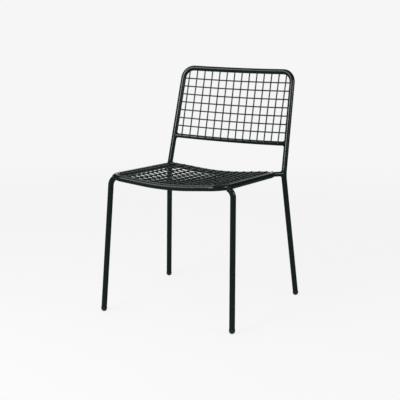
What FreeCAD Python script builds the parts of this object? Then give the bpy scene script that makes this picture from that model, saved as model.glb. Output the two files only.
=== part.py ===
import FreeCAD, Part
import os
from math import acos, cos, radians, sin, sqrt, tan

# A stacking cafe chair of bent steel tube, with a seat and a back of welded wire mesh.
# Units are millimetres. X runs across the chair, Y from front to back, Z upwards.
# The chair is drawn about the line midway between its two seat rails, and every piece
# is shifted when it is written, so that the origin lies on the floor under the middle
# of the outline.

# Tube and wire sizes
tube_diameter = 19.0
tube_wall = 1.5
rail_diameter = 16.0
rail_wall = 1.5
stub_diameter = 17.2
stub_wall = 1.5
wire_diameter = 4.8

# Seat ring: a square tube ring with round corners, dished at the front and rear
seat_half_width = 212.0
seat_half_depth = 212.0
seat_middle_y = -38.5
seat_height = 467.6
seat_slope = 0.0456
ring_corner_radius = 50.0
ring_dish = 15.6
ring_dish_round = 90.0

# Seat mesh: wires laid in two layers, one over the other, inside the perimeter wire
seat_cells = 14
mesh_margin = 21.0
mesh_dish_round = 156.0
mesh_sag = 5.2
perimeter_inset = 9.2
end_bite = 0.4

# Back frame: rear legs, uprights and top bar in one tube. Its bends are placed from the
# corners of the seat, the top bar and the rear feet are placed from the bends.
upright_outset = 19.7
upright_setback = 20.3
bend_fall = 14.8
upright_taper = 13.9
upright_lean = 94.7
upright_rise = 356.7
rear_splay = 35.8
rear_rake = 58.3
leg_bend_radius = 90.0
top_corner_radius = 40.0
top_bow = 13.6

# Lower back rail and back mesh, placed by their distance up the upright from its bend
rail_rise = 111.8
rail_bow = 30.8
back_row_pitch = 30.0
back_margin = 22.8
back_columns = 14
back_rows = 7
top_row_rise = 329.7
top_wire_offset = 3.0
straight_end = 18.0

# Front legs: their feet are placed from the corners of the seat
front_outset = 34.7
front_setback = 3.8
front_lean_x = -0.03825
front_lean_y = 0.0650
front_corner_rise = 9.2
front_bend_radius = 31.0
front_end_droop = 8.0

# Foot glides
glide_proud = 0.7
glide_flat_depth = 0.8
glide_collar = 5.0
glide_stem = 18.0
stem_clearance = 0.1

# Joints between pieces
weld_size = 2.2
wire_bite = 0.2
loop_gap = 0.05
shortest_run = 0.001

# Values that follow from the sizes above
tube_radius = tube_diameter / 2
rail_radius = rail_diameter / 2
stub_radius = stub_diameter / 2
wire_radius = wire_diameter / 2
layer_step = wire_diameter - wire_bite
perimeter_half_width = seat_half_width - perimeter_inset
perimeter_half_depth = seat_half_depth - perimeter_inset
wire_lift = sqrt((tube_radius + wire_radius + loop_gap) ** 2 - perimeter_inset ** 2)
mesh_middle_y = seat_middle_y + seat_slope * wire_lift
end_setback = wire_radius - end_bite
column_pitch = (perimeter_half_width - mesh_margin) / (seat_cells / 2 - 1)
row_pitch = (perimeter_half_depth - mesh_margin) / (seat_cells / 2 - 1)

glide_radius = tube_radius + glide_proud
front_foot_half_width = seat_half_width + front_outset
front_foot_y = seat_middle_y - seat_half_depth + front_setback
front_corner_height = seat_height + front_corner_rise
bend_half_width = seat_half_width + upright_outset
bend_y = seat_middle_y + seat_half_depth + upright_setback
top_half_width = bend_half_width - upright_taper
top_y = bend_y + upright_lean
back_column_pitch = 2 * (top_half_width - back_margin) / (back_columns - 1)

leg_bend = FreeCAD.Vector(bend_half_width, bend_y, seat_height - bend_fall)
upright = FreeCAD.Vector(-upright_taper, upright_lean, upright_rise)
back_corner = leg_bend + upright
rear_foot = FreeCAD.Vector(bend_half_width + rear_splay, bend_y + rear_rake, 0)
top_height = back_corner.z
upright_length = upright.Length
back_normal = FreeCAD.Vector(0, upright.z, -upright.y).normalize()

outline_front = min(seat_middle_y - seat_half_depth - tube_radius, front_foot_y - glide_radius)
outline_rear = top_y + top_bow * back_normal.y + tube_radius
outline_middle_y = (outline_front + outline_rear) / 2


# Helpers

def mirrored(point):
    return FreeCAD.Vector(-point.x, point.y, point.z)


def line(start, end):
    return Part.LineSegment(start, end).toShape()


def arc(start, middle, end):
    return Part.Arc(start, middle, end).toShape()


def bow_path(start, middle, end, run):
    """An arc through three points, with a straight run on from each of its ends."""
    bend = arc(start, middle, end)
    first = bend.tangentAt(bend.FirstParameter)
    last = bend.tangentAt(bend.LastParameter)
    return [line(start - first * run, start), bend, line(end, end + last * run)]


def rounded_path(points, radii):
    """Straight runs through the points, with an arc of the given radius at each inner one."""
    edges = []
    run_start = points[0]
    for corner, after, radius in zip(points[1:-1], points[2:], radii):
        back = (run_start - corner).normalize()
        ahead = (after - corner).normalize()
        half_angle = acos(back.dot(ahead)) / 2
        reach = radius / tan(half_angle)
        to_centre = (back + ahead).normalize()
        arc_start = corner + back * reach
        arc_end = corner + ahead * reach
        arc_middle = corner + to_centre * (radius / sin(half_angle) - radius)
        if (arc_start - run_start).Length > shortest_run:
            edges.append(line(run_start, arc_start))
            run_start = arc_start
        edges.append(arc(run_start, arc_middle, arc_end))
        run_start = arc_end
    edges.append(line(run_start, points[-1]))
    return edges


def rod(edges, radius):
    """A solid round bar that follows the edges, which run on from each other smoothly."""
    start = edges[0].valueAt(edges[0].FirstParameter)
    heading = edges[0].tangentAt(edges[0].FirstParameter)
    profile = Part.Wire(Part.Circle(start, heading, radius).toShape())
    return Part.Solid(Part.Wire(edges).makePipeShell([profile], True, False))


def hollow(edges, radius, wall):
    return rod(edges, radius).cut(rod(edges, radius - wall))


def largest(shape):
    return max(shape.Solids, key=lambda solid: solid.Volume)


def mirror_x(shape):
    return shape.mirror(FreeCAD.Vector(0, 0, 0), FreeCAD.Vector(1, 0, 0))


def save(name, shape):
    placed = shape.copy()
    placed.translate(FreeCAD.Vector(0, -outline_middle_y, 0))
    placed.exportStep(os.path.join("parts", name + ".step"))


# Seat surface

def seat_level(y):
    """Height of the ring's centre line where it isn't dished: it rises to the front."""
    return seat_height - seat_slope * (y - seat_middle_y)


def dish_shape(y):
    """Depth of the mesh's dish and half width of its round bottom: as the ring's at the
    front and rear, and deeper and rounder in between."""
    share = 1 - ((y - mesh_middle_y) / perimeter_half_depth) ** 2
    bottom_half_width = ring_dish_round + (mesh_dish_round - ring_dish_round) * share
    return ring_dish + mesh_sag * share, bottom_half_width


def wire_end_setback(offset, half_size):
    """How far a wire ends inside the perimeter wire's side, which curves away at the corners."""
    corner_radius = ring_corner_radius - perimeter_inset
    past = max(0, abs(offset) - (half_size - corner_radius))
    across = sqrt(corner_radius ** 2 - past ** 2)
    return corner_radius - across + end_setback + wire_radius * past / across / 2


def dish_angle(half_width, shape):
    """Angle of the straight flanks that rise from the round bottom to the half width."""
    depth, bottom_half_width = shape
    return depth / (half_width - bottom_half_width / 2)


def dish_drop(x, half_width, shape):
    """Depth of the dish at x, below its ends at the half width."""
    bottom_half_width = shape[1]
    angle = dish_angle(half_width, shape)
    if abs(x) > bottom_half_width:
        return (half_width - abs(x)) * tan(angle)
    bottom_radius = bottom_half_width / sin(angle)
    flanks_meet = half_width * tan(angle)
    return flanks_meet - bottom_radius / cos(angle) + sqrt(bottom_radius ** 2 - x ** 2)


def dish_bottom(y, height, half_width, shape):
    """The point where the two flanks of a dish would meet, and the radius that rounds it."""
    angle = dish_angle(half_width, shape)
    flanks_meet = FreeCAD.Vector(0, y, height - half_width * tan(angle))
    return flanks_meet, shape[1] / sin(angle)


def loop_path(inset, lift):
    """A closed loop over the seat ring, from the middle of the right rail round to it."""
    half_width = seat_half_width - inset
    middle_y = seat_middle_y + seat_slope * lift
    front_y = middle_y - seat_half_depth + inset
    rear_y = middle_y + seat_half_depth - inset
    corner_radius = ring_corner_radius - inset
    ring_shape = (ring_dish, ring_dish_round)
    middle = FreeCAD.Vector(half_width, middle_y, seat_level(middle_y) + lift)
    front_corner = FreeCAD.Vector(half_width, front_y, seat_level(front_y) + lift)
    rear_corner = FreeCAD.Vector(half_width, rear_y, seat_level(rear_y) + lift)
    front, dish_radius = dish_bottom(front_y, front_corner.z, half_width, ring_shape)
    rear, dish_radius = dish_bottom(rear_y, rear_corner.z, half_width, ring_shape)
    points = [middle, front_corner, front, mirrored(front_corner)]
    points += [mirrored(rear_corner), rear, rear_corner, middle]
    side_radii = [corner_radius, dish_radius, corner_radius]
    return rounded_path(points, side_radii + side_radii)


ring_path = loop_path(0, 0)


def seat_cross_wire(row):
    """A wire from side to side in the lower layer, butted on the perimeter wire."""
    y = mesh_middle_y + row * row_pitch
    height = seat_level(y) + wire_lift - layer_step / 2
    reach = perimeter_half_width - wire_end_setback(y - mesh_middle_y, perimeter_half_depth)
    right_end = FreeCAD.Vector(reach, y, height)
    bottom, radius = dish_bottom(y, height, right_end.x, dish_shape(y))
    return rod(rounded_path([right_end, bottom, mirrored(right_end)], [radius]), wire_radius)


def long_wire_point(x, y):
    drop = dish_drop(x, perimeter_half_width - end_setback, dish_shape(y))
    return FreeCAD.Vector(x, y, seat_level(y) + wire_lift - drop + layer_step / 2)


def seat_long_wire(column):
    """A wire from front to rear in the upper layer, butted on the perimeter wire."""
    x = column * column_pitch
    reach = perimeter_half_depth - wire_end_setback(x, perimeter_half_width)
    front = long_wire_point(x, mesh_middle_y - reach)
    middle = long_wire_point(x, mesh_middle_y)
    rear = long_wire_point(x, mesh_middle_y + reach)
    return rod([arc(front, middle, rear)], wire_radius)


# Back frame, rail and back mesh

def tube_end(foot, top):
    """Where the tube of a leg stops above its foot, on the line from the foot to its top."""
    heading = (top - foot).normalize()
    rise = glide_radius - glide_flat_depth + glide_collar
    return foot + heading * (rise / heading.z)


def back_frame_path():
    rear_end = tube_end(rear_foot, leg_bend)
    bar_reach = top_half_width - top_corner_radius
    bar_turn = top_bow / (top_half_width - bar_reach / 2)
    apex = FreeCAD.Vector(0, top_y, top_height) + back_normal * (top_half_width * tan(bar_turn))
    bar_radius = 0.98 * bar_reach / tan(bar_turn)
    points = [rear_end, leg_bend, back_corner, apex]
    points += [mirrored(back_corner), mirrored(leg_bend), mirrored(rear_end)]
    radii = [leg_bend_radius, top_corner_radius, bar_radius, top_corner_radius, leg_bend_radius]
    return rounded_path(points, radii)


frame_path = back_frame_path()


def back_point(x, rise, offset):
    """A point of the bowed back: across, up the upright, and backwards off its surface."""
    share = (rise - rail_rise) / (upright_length - rail_rise)
    bow = rail_bow + (top_bow - rail_bow) * share
    bow_half_width = bend_half_width + (top_half_width - bend_half_width) * 0.75
    on_frame = leg_bend + upright * (rise / upright_length)
    on_frame.x = x
    return on_frame + back_normal * (bow * (1 - (x / bow_half_width) ** 2) + offset)


def upright_x(rise):
    return bend_half_width + (top_half_width - bend_half_width) * rise / upright_length


def mesh_offset(rise):
    """How far the upright wires lie in front of the bowed surface at a height."""
    at_rail = rail_radius + wire_radius - wire_bite / 2
    share = (rise - rail_rise) / (upright_length - rail_rise)
    return -(at_rail + (top_wire_offset - at_rail) * share)


def across_back(rise, offset):
    """A bowed path between the centre lines of the uprights, straight near each of them."""
    arc_half_width = upright_x(rise) - straight_end
    start = back_point(-arc_half_width, rise, offset)
    middle = back_point(0, rise, offset)
    end = back_point(arc_half_width, rise, offset)
    return bow_path(start, middle, end, straight_end)


def rail_path():
    return across_back(rail_rise, 0)


def back_upright_wire(column, frame_solid):
    """A straight wire lapped over the front of the rail and ended under the top bar."""
    x = (column - (back_columns - 1) / 2) * back_column_pitch
    low = rail_rise - wire_radius
    start = back_point(x, low, mesh_offset(low))
    end = back_point(x, upright_length, mesh_offset(upright_length))
    return largest(rod([line(start, end)], wire_radius).cut(frame_solid))


def back_cross_wire(row, frame_solid):
    """A bowed wire behind the upright wires, welded to the inner sides of the uprights."""
    rise = top_row_rise - row * back_row_pitch
    path = across_back(rise, mesh_offset(rise) + layer_step)
    return largest(rod(path, wire_radius).cut(frame_solid))


# Front legs, stubs and feet

front_foot = FreeCAD.Vector(front_foot_half_width, front_foot_y, 0)
front_lean = FreeCAD.Vector(front_lean_x, front_lean_y, 1)
front_corner = front_foot + front_lean * front_corner_height


def front_leg_path():
    droop = radians(front_end_droop)
    inwards = FreeCAD.Vector(-cos(droop), 0, -sin(droop))
    inner_end = front_corner + inwards * (2 * front_bend_radius)
    start = tube_end(front_foot, front_corner)
    return rounded_path([start, front_corner, inner_end], [front_bend_radius])


def outside_ring(shape):
    """The part of a shape that lies outwards of the right side rail's middle plane."""
    room = 400.0
    corner = FreeCAD.Vector(seat_half_width, -room, 0)
    return largest(shape.common(Part.makeBox(room, 2 * room, 2 * room, corner)))


def front_leg(ring_solid):
    leg = outside_ring(hollow(front_leg_path(), tube_radius, tube_wall))
    return largest(leg.cut(ring_solid))


def stub_path():
    """From the ring's rear corner, level, to the upright just above the leg's bend."""
    reach = ring_corner_radius * (1 - cos(radians(45)))
    x = seat_half_width - reach
    y = seat_middle_y + seat_half_depth - reach
    drop = dish_drop(x, seat_half_width, (ring_dish, ring_dish_round))
    start = FreeCAD.Vector(x, y, seat_level(y) - drop)
    on_upright = leg_bend + upright * ((start.z - leg_bend.z) / upright.z)
    return [line(start, on_upright)]


def foot_glide(foot, top):
    """A domed plug: a ball under a collar, with a stem up the tube and a flat underneath."""
    heading = (top - foot).normalize()
    centre = foot + heading * ((glide_radius - glide_flat_depth) / heading.z)
    seat = tube_end(foot, top)
    stem_radius = tube_radius - tube_wall - stem_clearance
    ball = Part.makeSphere(glide_radius, centre)
    collar = Part.makeCylinder(glide_radius, (seat - centre).Length, centre, heading)
    stem = Part.makeCylinder(stem_radius, glide_stem, seat, heading)
    floor = Part.makeBox(200, 200, 50, foot - FreeCAD.Vector(100, 100, 50))
    return ball.fuse([collar, stem]).cut(floor).removeSplitter()


# Weld beads

def bead(branch_path, branch_radius, base_fat, base_solid):
    """A raised ring of weld round a branch tube where it meets the base tube."""
    branch_fat = rod(branch_path, branch_radius + weld_size)
    branch = rod(branch_path, branch_radius)
    return largest(branch_fat.common(base_fat).cut([branch, base_solid]))


def build():
    os.makedirs("parts", exist_ok=True)

    ring_solid = rod(ring_path, tube_radius)
    ring_fat = rod(ring_path, tube_radius + weld_size)
    frame_solid = rod(frame_path, tube_radius)
    frame_fat = rod(frame_path, tube_radius + weld_size)

    save("back_frame_tube", hollow(frame_path, tube_radius, tube_wall))
    save("seat_ring", hollow(ring_path, tube_radius, tube_wall))
    save("seat_perimeter_wire", rod(loop_path(perimeter_inset, wire_lift), wire_radius))

    rail = hollow(rail_path(), rail_radius, rail_wall).cut(frame_solid)
    save("lower_back_rail", largest(rail))

    leg = front_leg(ring_solid)
    save("front_leg_right", leg)
    save("front_leg_left", mirror_x(leg))

    stub = largest(hollow(stub_path(), stub_radius, stub_wall).cut([ring_solid, frame_solid]))
    save("rear_stub_right", stub)
    save("rear_stub_left", mirror_x(stub))

    half_count = seat_cells // 2
    for number in range(1, seat_cells):
        save("seat_cross_wire_%02d" % number, seat_cross_wire(number - half_count))
        save("seat_long_wire_%02d" % number, seat_long_wire(number - half_count))
    for number in range(back_columns):
        save("back_upright_wire_%02d" % (number + 1), back_upright_wire(number, frame_solid))
    for number in range(back_rows):
        save("back_cross_wire_%02d" % (number + 1), back_cross_wire(number, frame_solid))

    front_glide = foot_glide(front_foot, front_corner)
    rear_glide = foot_glide(rear_foot, leg_bend)
    save("foot_glide_front_right", front_glide)
    save("foot_glide_front_left", mirror_x(front_glide))
    save("foot_glide_rear_right", rear_glide)
    save("foot_glide_rear_left", mirror_x(rear_glide))

    right_beads = [
        bead(stub_path(), stub_radius, ring_fat, ring_solid),
        bead(stub_path(), stub_radius, frame_fat, frame_solid),
        outside_ring(bead(front_leg_path(), tube_radius, ring_fat, ring_solid)),
    ]
    rail_beads = rod(rail_path(), rail_radius + weld_size).common(frame_fat)
    rail_beads = rail_beads.cut([rod(rail_path(), rail_radius), frame_solid])
    beads = right_beads + [mirror_x(solid) for solid in right_beads] + rail_beads.Solids
    save("weld_beads", Part.makeCompound(beads))


build()
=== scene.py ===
# %% [markdown]
# A wire mesh cafe chair. Round steel tube makes the legs, the seat ring and the back
# frame. Thin steel wire, welded where it crosses, makes the seat and the back. All of the
# steel has one very dark green powder coat, and each leg stands on a plastic glide.
#
# The chair's tubes and wires come in already shaped, as the frame. This lesson gives them
# their finish, makes the small things that show how the chair was put together, and then
# sets up a pale studio and a camera.

import bpy
import numpy as np
from mathutils import Matrix, Vector


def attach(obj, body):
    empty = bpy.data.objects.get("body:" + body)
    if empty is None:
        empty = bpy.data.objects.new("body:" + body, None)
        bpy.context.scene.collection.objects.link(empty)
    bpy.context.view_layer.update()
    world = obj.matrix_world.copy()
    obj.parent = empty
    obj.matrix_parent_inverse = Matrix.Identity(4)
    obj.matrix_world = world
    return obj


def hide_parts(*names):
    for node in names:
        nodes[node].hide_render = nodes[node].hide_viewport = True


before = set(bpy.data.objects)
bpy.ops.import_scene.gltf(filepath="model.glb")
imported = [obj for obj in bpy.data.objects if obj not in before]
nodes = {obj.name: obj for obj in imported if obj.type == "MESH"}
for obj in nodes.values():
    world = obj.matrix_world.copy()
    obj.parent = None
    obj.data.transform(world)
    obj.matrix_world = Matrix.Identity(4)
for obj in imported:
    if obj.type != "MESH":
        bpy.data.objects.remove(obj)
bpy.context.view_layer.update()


# %% [markdown]
# Colours are easiest to read as the hex values that a paint chart or a picture editor
# shows. Blender works with linear light, so one function turns hex into linear numbers.

# %% Colour from hex
def colour(hex_code):
    """The linear colour, with alpha 1, of an sRGB hex code such as "26302c"."""
    srgb = np.array([int(hex_code[i:i + 2], 16) for i in (0, 2, 4)]) / 255
    linear = np.where(srgb <= 0.04045, srgb / 12.92, ((srgb + 0.055) / 1.055) ** 2.4)
    return (*linear.tolist(), 1.0)


millimetre = 0.001


# %% [markdown]
# A material is a small graph of nodes. Each node is added with its settings, and with
# what feeds each of its inputs: a number or colour, or the output of another node.

# %% Nodes and new materials
def add_node(tree, kind, settings=None, inputs=None):
    """Adds one node. settings are its properties; inputs are values or output sockets."""
    node = tree.nodes.new(kind)
    for name, value in (settings or {}).items():
        setattr(node, name, value)
    for name, value in (inputs or {}).items():
        if isinstance(value, bpy.types.NodeSocket):
            tree.links.new(value, node.inputs[name])
        else:
            node.inputs[name].default_value = value
    return node


def new_material(name):
    """An empty material, its node tree, and the output node that a shader goes into."""
    material = bpy.data.materials.new(name)
    material.use_nodes = True
    material.node_tree.nodes.clear()
    output = material.node_tree.nodes.new("ShaderNodeOutputMaterial")
    return material, material.node_tree, output


# %% [markdown]
# The coat is polyester powder, sprayed on dry and baked until it flows together. It never
# flows quite flat, so it has a fine orange peel: soft bumps a millimetre or so across that
# break a highlight up a little. Its colour is so dark that it reads as black, and only
# its highlights show the green.

# %% Powder coat
def powder_coat(name, base, thin, peel_size, roughness):
    """A baked powder coat. base is its colour, thin is its colour where the film is
    thinner, and peel_size is the width of one bump of its orange peel, in metres."""
    material, tree, output = new_material(name)
    place = add_node(tree, "ShaderNodeTexCoord")
    cloud = add_node(tree, "ShaderNodeTexNoise", {"noise_dimensions": "3D"},
                     {"Vector": place.outputs["Object"], "Scale": 9.0, "Detail": 3.0})
    tint = add_node(tree, "ShaderNodeMix", {"data_type": "RGBA"},
                    {"Factor": cloud.outputs["Fac"], 6: colour(base), 7: colour(thin)})
    peel = add_node(tree, "ShaderNodeTexNoise", {},
                    {"Vector": place.outputs["Object"], "Scale": 1 / peel_size,
                     "Detail": 2.0, "Roughness": 0.45})
    bump = add_node(tree, "ShaderNodeBump", {},
                    {"Height": peel.outputs["Fac"], "Strength": 0.35, "Distance": 0.00012})
    gloss = add_node(tree, "ShaderNodeMapRange", {},
                     {"Value": peel.outputs["Fac"], "From Min": 0.3, "From Max": 0.7,
                      "To Min": roughness - 0.05, "To Max": roughness + 0.05})
    shader = add_node(tree, "ShaderNodeBsdfPrincipled", {},
                      {"Base Color": tint.outputs[2], "Roughness": gloss.outputs["Result"],
                       "Normal": bump.outputs["Normal"], "IOR": 1.5,
                       "Specular IOR Level": 0.5})
    tree.links.new(shader.outputs["BSDF"], output.inputs["Surface"])
    return material


tube_coat = powder_coat("dark_green_powder_coat_on_tube", "0f1a16", "14211c",
                        peel_size=1.6 * millimetre, roughness=0.23)
wire_coat = powder_coat("dark_green_powder_coat_on_wire", "131f1b", "182721",
                        peel_size=1.2 * millimetre, roughness=0.28)


# %% [markdown]
# The glides are moulded charcoal polypropylene: dull, a little paler than the coat, with
# the fine grain of a spark eroded mould.

# %% Moulded plastic
def moulded_plastic(name, base, grain_size):
    """Dull moulded plastic with a fine grain of the given size, in metres."""
    material, tree, output = new_material(name)
    place = add_node(tree, "ShaderNodeTexCoord")
    grain = add_node(tree, "ShaderNodeTexNoise", {},
                     {"Vector": place.outputs["Object"], "Scale": 1 / grain_size, "Detail": 3.0})
    bump = add_node(tree, "ShaderNodeBump", {},
                    {"Height": grain.outputs["Fac"], "Strength": 0.4, "Distance": 0.00008})
    shader = add_node(tree, "ShaderNodeBsdfPrincipled", {},
                      {"Base Color": colour(base), "Roughness": 0.6, "IOR": 1.49,
                       "Normal": bump.outputs["Normal"]})
    tree.links.new(shader.outputs["BSDF"], output.inputs["Surface"])
    return material


glide_plastic = moulded_plastic("charcoal_polypropylene", "242726", grain_size=0.7 * millimetre)


# %% Give every piece its finish
def finish_with(piece, material):
    """Puts one material on a whole mesh."""
    piece.data.materials.clear()
    piece.data.materials.append(material)


for name, piece in nodes.items():
    if name.startswith("foot_glide"):
        finish_with(piece, glide_plastic)
    elif "wire" in name:
        finish_with(piece, wire_coat)
    else:
        finish_with(piece, tube_coat)


# %% [markdown]
# The pieces made below take their places from the frame. Two small functions read a node's
# points, and add a finished mesh to the chair.

# %% Points of the frame, and new pieces
def node_points(name):
    """The corners of a node's mesh in millimetres, one row for each."""
    mesh = nodes[name].data
    points = np.empty(len(mesh.vertices) * 3)
    mesh.vertices.foreach_get("co", points)
    return points.reshape(-1, 3) / millimetre


def node_names(start):
    return sorted(name for name in nodes if name.startswith(start))


def chair_piece(name, points, faces, material, slot):
    """A new closed piece of the chair, from points in millimetres, smooth shaded."""
    mesh = bpy.data.meshes.new(name)
    mesh.from_pydata((points * millimetre).tolist(), [], [list(face) for face in faces])
    mesh.polygons.foreach_set("use_smooth", np.ones(len(faces), bool))
    mesh.materials.append(material)
    piece = bpy.data.objects.new(name, mesh)
    bpy.context.scene.collection.objects.link(piece)
    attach(piece, "root")
    return piece


# %% [markdown]
# Each tube that ends on another is welded all round its end. The weld is laid as a row of
# small pools that freeze one after another, so its surface is rippled. The frame carries
# plain raised rings there, and a rippled bead runs along the middle of each instead.

# %% Weld beads
bead_points = 240
bead_sides = 12
bead_waves = 4

# Roughly where each right hand joint lies, in millimetres, to tell the frame's rings apart
joint_places = {
    "stub_to_ring": (204, 140, 457),
    "stub_to_upright": (225, 162, 457),
    "leg_to_ring": (218, -241, 472),
    "rail_to_upright": (219, 197, 560),
}
bead_radius = 1.9
ripple_length = 2.4
ripple_height = 0.17


def ring_middle(points):
    """The closed middle line of a ring of points, and the ring's axis. Seen along the axis,
    its distance from the centre and its height are each a sum of a few sine waves in the
    angle round the ring: the sum that fits all of the points best."""
    centre = points.mean(axis=0)
    first, second, axis = np.linalg.svd(points - centre, full_matrices=False)[2]
    across, along, height = ((points - centre) @ np.stack([first, second, axis], -1)).T
    orders = np.arange(1, bead_waves + 1)

    def wave_table(angle):
        wave = angle[:, None] * orders
        return np.concatenate([np.ones((len(angle), 1)), np.cos(wave), np.sin(wave)], axis=1)

    measured = np.stack([np.hypot(across, along), height], -1)
    shares = np.linalg.lstsq(wave_table(np.arctan2(along, across)), measured, rcond=None)[0]
    angle = np.arange(bead_points) * 2 * np.pi / bead_points
    distance, height = (wave_table(angle) @ shares).T[..., None]
    outwards = np.cos(angle)[:, None] * first + np.sin(angle)[:, None] * second
    return centre + distance * outwards + height * axis, outwards


def weld_bead(middle, outwards):
    """A closed tube round the middle line, whose radius swells at each ripple."""
    ahead = np.roll(middle, -1, axis=0)
    length = np.linalg.norm(ahead - middle, axis=1).sum()
    angle = np.arange(len(middle)) * np.pi / len(middle) * round(length / ripple_length)
    radius = bead_radius + ripple_height * np.abs(np.sin(angle))
    across = np.cross(ahead - np.roll(middle, 1, axis=0), outwards)
    across /= np.linalg.norm(across, axis=1, keepdims=True)
    around = np.arange(bead_sides)[None, :, None] * 2 * np.pi / bead_sides
    circle = np.cos(around) * outwards[:, None] + np.sin(around) * across[:, None]
    points = middle[:, None] + radius[:, None, None] * circle
    number = np.arange(len(middle) * bead_sides).reshape(len(middle), bead_sides)
    after = np.roll(number, -1, axis=0)
    faces = np.stack([number, after, np.roll(after, -1, axis=1), np.roll(number, -1, axis=1)], -1)
    return outward_faces(points.reshape(-1, 3), faces.reshape(-1, 4))


def outward_faces(points, faces):
    """Points and four sided faces of a closed shape. The faces are all turned round if the
    volume that they enclose comes out negative, which means that they point inwards."""
    first, second, third = points[faces[:, 0]], points[faces[:, 1]], points[faces[:, 2]]
    fourth = points[faces[:, 3]]
    volume = (first * np.cross(second, third) + first * np.cross(third, fourth)).sum()
    return (points, faces) if volume > 0 else (points, faces[:, ::-1])


plain_rings = node_points("weld_beads")
right_side = plain_rings[plain_rings[:, 0] > 0]
places = np.array(list(joint_places.values()))
nearest = np.linalg.norm(right_side[:, None] - places, axis=-1).argmin(axis=1)
for number, joint in enumerate(joint_places):
    points, faces = weld_bead(*ring_middle(right_side[nearest == number]))
    for side, sign in (("right", 1), ("left", -1)):
        turned = outward_faces(points * [sign, 1, 1], faces)
        bead = chair_piece(joint + "_weld_" + side, *turned, tube_coat, "frame_coat")
        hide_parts("weld_beads")


# %% [markdown]
# The wires of the seat and the back are spot welded wherever they cross. The electrodes
# squeeze the hot wires together, and a small collar of steel swells out between them. There
# are hundreds, so each is a coarse ball of a few dozen faces.

# %% Spot welds
spot_half_width = 2.75
spot_half_height = 1.5
spot_rings = 5
spot_sides = 8
half_layer = 2.3
curve_order = 6


def crossings(curved, straight, run):
    """Where curved wires meet flat ones. Each curved wire runs along axis number run, and
    its middle line is the polynomial that fits its points best. Each flat wire stays at
    one place on that axis."""
    place = np.array([node_points(name)[:, run].mean() for name in node_names(straight)])
    rows = []
    for name in node_names(curved):
        wire = node_points(name)
        scale = np.abs(wire[:, run]).max()
        row = [np.polyval(np.polyfit(wire[:, run] / scale, wire[:, axis], curve_order),
                          place / scale) for axis in range(3)]
        rows.append(np.stack(row, -1))
    return np.concatenate(rows)


def flat_balls(centres, up):
    """A flattened ball at every centre, in one mesh, thinnest along the direction up. Its
    points lie on circles between two poles."""
    up = np.array(up) / np.linalg.norm(up)
    first = np.cross(up, [1.0, 0.0, 0.0])
    first /= np.linalg.norm(first)
    second = np.cross(up, first)
    rise = np.radians(np.linspace(-90, 90, spot_rings + 1)[1:-1])[:, None, None]
    turn = np.radians(np.arange(spot_sides) * 360 / spot_sides)[None, :, None]
    circle = spot_half_width * np.cos(rise) * (np.cos(turn) * first + np.sin(turn) * second)
    ball = (circle + spot_half_height * np.sin(rise) * up).reshape(-1, 3)
    ball_size = len(ball)
    ball = np.concatenate([ball, [-spot_half_height * up, spot_half_height * up]])
    number = np.arange(ball_size).reshape(spot_rings - 1, spot_sides)
    after = np.roll(number, -1, axis=1)
    low = np.full(spot_sides, ball_size)
    high = np.full(spot_sides, ball_size + 1)
    bands = [np.stack([number[:-1], after[:-1], after[1:], number[1:]], -1).reshape(-1, 4),
             np.stack([after[0], number[0], low], -1),
             np.stack([number[-1], after[-1], high], -1)]
    start = (np.arange(len(centres)) * len(ball))[:, None, None]
    faces = []
    for band in bands:
        faces += (start + band).reshape(-1, band.shape[1]).tolist()
    return (centres[:, None] + ball).reshape(-1, 3), faces


# The seat falls 0.0456 mm for each millimetre towards the back, and the back leans 14.9
# degrees, so these point squarely out of the seat and out of the front of the back. The
# collars lie half a layer from the middle of the wires whose curves are fitted.
seat_up = np.array([0.0, 0.0456, 1.0])
back_front = np.array([0.0, -0.9665, 0.2566])
seat_spots = crossings("seat_long_wire", "seat_cross_wire", 1) - half_layer * seat_up
back_spots = crossings("back_cross_wire", "back_upright_wire", 0) + half_layer * back_front
chair_piece("seat_spot_welds", *flat_balls(seat_spots, seat_up), wire_coat, "mesh_coat")
chair_piece("back_spot_welds", *flat_balls(back_spots, back_front), wire_coat, "mesh_coat")


# %% [markdown]
# The studio is a pale floor under a pale sky. Both are made to show the same pale grey to
# camera rays, to reflections and through glass, and everything else only gets soft light
# from them. In reflections, though, the black tent further down hides most of that grey.
# The floor takes a small share of real light, enough to keep the shadow under the feet, and
# that share fades out with distance, so there is no horizon.

# %% Sky and floor
backdrop_colour = colour("f6f6f6")
sky_light = 0.65
floor_matt_share = 0.14
floor_fade_from = 1.2
floor_fade_to = 3.5


def seen_directly(tree):
    """1 for the rays that see the backdrop's own colour: from the camera, and by reflection
    or through glass."""
    path = add_node(tree, "ShaderNodeLightPath")
    seen = path.outputs["Is Camera Ray"]
    for kind in ("Is Glossy Ray", "Is Transmission Ray"):
        seen = add_node(tree, "ShaderNodeMath", {"operation": "MAXIMUM"},
                        {0: seen, 1: path.outputs[kind]}).outputs[0]
    return seen


def make_sky():
    """A white sky of soft light, which is seen in the backdrop's colour."""
    world = bpy.data.worlds.new("studio_sky")
    world.use_nodes = True
    tree = world.node_tree
    tree.nodes.clear()
    light = add_node(tree, "ShaderNodeBackground", {},
                     {"Color": (1, 1, 1, 1), "Strength": sky_light})
    backdrop = add_node(tree, "ShaderNodeBackground", {},
                        {"Color": backdrop_colour, "Strength": 1.0})
    mix = add_node(tree, "ShaderNodeMixShader", {}, {"Fac": seen_directly(tree)})
    tree.links.new(light.outputs[0], mix.inputs[1])
    tree.links.new(backdrop.outputs[0], mix.inputs[2])
    output = add_node(tree, "ShaderNodeOutputWorld")
    tree.links.new(mix.outputs[0], output.inputs["Surface"])
    bpy.context.scene.world = world


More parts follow.
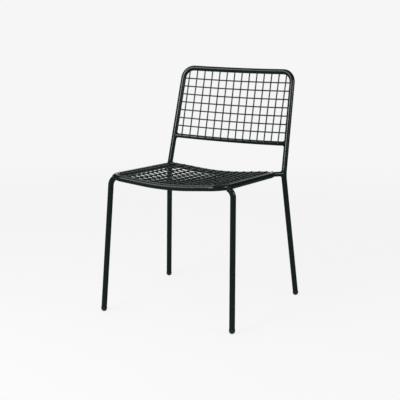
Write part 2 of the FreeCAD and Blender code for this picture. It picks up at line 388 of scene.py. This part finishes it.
def staged_mesh(name, points, faces, material):
    """A mesh that belongs to the studio and not to the chair."""
    mesh = bpy.data.meshes.new(name)
    mesh.from_pydata(points.tolist(), [], faces.tolist())
    mesh.materials.append(material)
    piece = bpy.data.objects.new(name, mesh)
    bpy.context.scene.collection.objects.link(piece)
    return piece


def make_floor(half_size):
    """A square floor. Its matt share is lit and takes shadows, and the rest of it glows in
    the backdrop's colour."""
    material, tree, output = new_material("pale_matt_floor")
    place = add_node(tree, "ShaderNodeTexCoord")
    distance = add_node(tree, "ShaderNodeVectorMath", {"operation": "LENGTH"},
                        {0: place.outputs["Object"]})
    matt_share = add_node(tree, "ShaderNodeMapRange", {"interpolation_type": "SMOOTHSTEP"},
                          {"Value": distance.outputs["Value"], "From Min": floor_fade_from,
                           "From Max": floor_fade_to, "To Min": floor_matt_share,
                           "To Max": 0.0})
    glow_share = add_node(tree, "ShaderNodeMath", {"operation": "SUBTRACT"},
                          {0: 1.0, 1: matt_share.outputs[0]})
    share = add_node(tree, "ShaderNodeMath", {"operation": "MULTIPLY"},
                     {0: seen_directly(tree), 1: glow_share.outputs[0]})
    matt = add_node(tree, "ShaderNodeBsdfDiffuse", {}, {"Color": backdrop_colour})
    glow = add_node(tree, "ShaderNodeEmission", {},
                    {"Color": backdrop_colour, "Strength": 1.0})
    mix = add_node(tree, "ShaderNodeMixShader", {}, {"Fac": share.outputs[0]})
    tree.links.new(matt.outputs[0], mix.inputs[1])
    tree.links.new(glow.outputs[0], mix.inputs[2])
    tree.links.new(mix.outputs[0], output.inputs["Surface"])
    corners = np.array([[-1, -1, 0], [1, -1, 0], [1, 1, 0], [-1, 1, 0]], float) * half_size
    return staged_mesh("studio_floor", corners, np.array([[0, 1, 2, 3]]), material)


make_sky()
make_floor(6.0)


# %% [markdown]
# A dark, glossy thing on a white background loses its edges, because the rim of every
# tube mirrors the white. Photographers hang black cloth round the set, with one opening
# that the background shows through, and lay a darker cloth on the ground. This tent does
# the same. It is half of a sphere on a round cloth. Only reflections see the two, and they
# cast no shadow. The price is that the chair mirrors the pale background only through the
# opening. Without the two, the coat needs a much lower specular level to look this dark.

# %% Blackout tent
tent_radius = 2.9
opening_headings = (98.0, 138.0)
opening_top = 40.0
heading_step = 4.0
rise_step = 5.0


def only_in_reflections(piece):
    """Hides a piece from everything but reflections."""
    for kind in ("camera", "diffuse", "transmission", "volume_scatter", "shadow"):
        setattr(piece, "visible_" + kind, False)


def blackout_tent():
    """A half sphere: heading runs round it and rise runs up it. The faces in the opening,
    behind the chair as the camera sees it, are left out."""
    cloth, tree, output = new_material("black_cloth")
    dark = add_node(tree, "ShaderNodeEmission", {}, {"Color": colour("101312"), "Strength": 1.0})
    tree.links.new(dark.outputs[0], output.inputs["Surface"])
    heading, rise = np.meshgrid(np.arange(0, 361, heading_step), np.arange(0, 91, rise_step),
                                indexing="ij")
    across = np.cos(np.radians(rise)) * tent_radius
    points = np.stack([across * np.cos(np.radians(heading)),
                       across * np.sin(np.radians(heading)),
                       tent_radius * np.sin(np.radians(rise)) + 0.002], axis=-1)
    number = np.arange(heading.size).reshape(heading.shape)
    faces = np.stack([number[:-1, :-1], number[1:, :-1], number[1:, 1:], number[:-1, 1:]], -1)
    middle = heading[:-1, :-1] + heading_step / 2
    opened = (middle > opening_headings[0]) & (middle < opening_headings[1])
    opened &= rise[:-1, :-1] + rise_step / 2 < opening_top
    tent = staged_mesh("blackout_tent", points.reshape(-1, 3), faces[~opened], cloth)
    only_in_reflections(tent)


def ground_cloth():
    """A grey cloth under the tent, which dims the pale floor in reflections alone."""
    cloth, tree, output = new_material("grey_cloth")
    dim = add_node(tree, "ShaderNodeEmission", {}, {"Color": colour("505653"), "Strength": 1.0})
    tree.links.new(dim.outputs[0], output.inputs["Surface"])
    heading = np.radians(np.arange(0, 360, 10.0))
    edge = np.stack([np.cos(heading), np.sin(heading), np.zeros_like(heading)], -1) * tent_radius
    points = np.concatenate([edge, np.zeros((1, 3))]) + [0, 0, 0.0005]
    number = np.arange(len(edge))
    middle = np.full_like(number, len(edge))
    faces = np.stack([number, np.roll(number, -1), middle], -1)
    only_in_reflections(staged_mesh("ground_cloth", points, faces, cloth))


blackout_tent()
ground_cloth()


# %% [markdown]
# Three soft lamps draw the light on the tubes. A small bright one before the chair gives
# the crisp line on the uprights and legs. A broad one, further left and higher, gives the
# band on the front of the seat. A small one on the right gives the second, finer line.

# %% Lamps
def soft_lamp(name, heading, rise, distance, aim, size, power):
    """A square lamp seen from aim at a heading and a rise in degrees, turned to face aim."""
    level = np.cos(np.radians(rise))
    towards = Vector((level * np.cos(np.radians(heading)), level * np.sin(np.radians(heading)),
                      np.sin(np.radians(rise))))
    light = bpy.data.lights.new(name, "AREA")
    light.size = size
    light.energy = power
    lamp = bpy.data.objects.new(name, light)
    lamp.location = Vector(aim) + towards * distance
    lamp.rotation_euler = towards.to_track_quat("Z", "Y").to_euler()
    bpy.context.scene.collection.objects.link(lamp)
    return lamp


seat_middle = (0.0, 0.0, 0.46)
soft_lamp("lamp_front", -99.0, 27.0, 2.3, seat_middle, 0.55, 17)
soft_lamp("lamp_front_left", -124.0, 46.0, 2.3, seat_middle, 1.3, 18)
soft_lamp("lamp_right", -6.0, 26.0, 2.3, seat_middle, 0.6, 10)


# %% [markdown]
# The camera stands to the right of the chair, a little above it, and looks down by about
# twelve degrees. Its shift moves the picture without turning the camera.

# %% Camera
picture_pixels = 400
camera_place = (1.5088, -2.9367, 1.0480)
camera_turn = 27.545
camera_fall = 12.505
camera_roll = 0.401
focal_pixels = 956.42
centre_pixels = (197.958, 214.760)

turn = np.radians(camera_turn)
fall = np.radians(camera_fall)
roll = np.radians(camera_roll)
backwards = np.array([np.sin(turn) * np.cos(fall), -np.cos(turn) * np.cos(fall), np.sin(fall)])
level_right = np.array([np.cos(turn), np.sin(turn), 0.0])
level_up = np.cross(backwards, level_right)
right = level_right * np.cos(roll) + level_up * np.sin(roll)
up = np.cross(backwards, right)

camera_data = bpy.data.cameras.new("camera")
camera_data.sensor_width = 36.0
camera_data.lens = focal_pixels / picture_pixels * camera_data.sensor_width
camera_data.shift_x = (picture_pixels / 2 - centre_pixels[0]) / picture_pixels
camera_data.shift_y = (centre_pixels[1] - picture_pixels / 2) / picture_pixels
camera = bpy.data.objects.new("camera", camera_data)
placing = Matrix(np.column_stack([right, up, backwards]).tolist()).to_4x4()
placing.translation = camera_place
camera.matrix_world = placing
bpy.context.scene.collection.objects.link(camera)
bpy.context.scene.camera = camera
bpy.context.scene.view_settings.view_transform = "Standard"
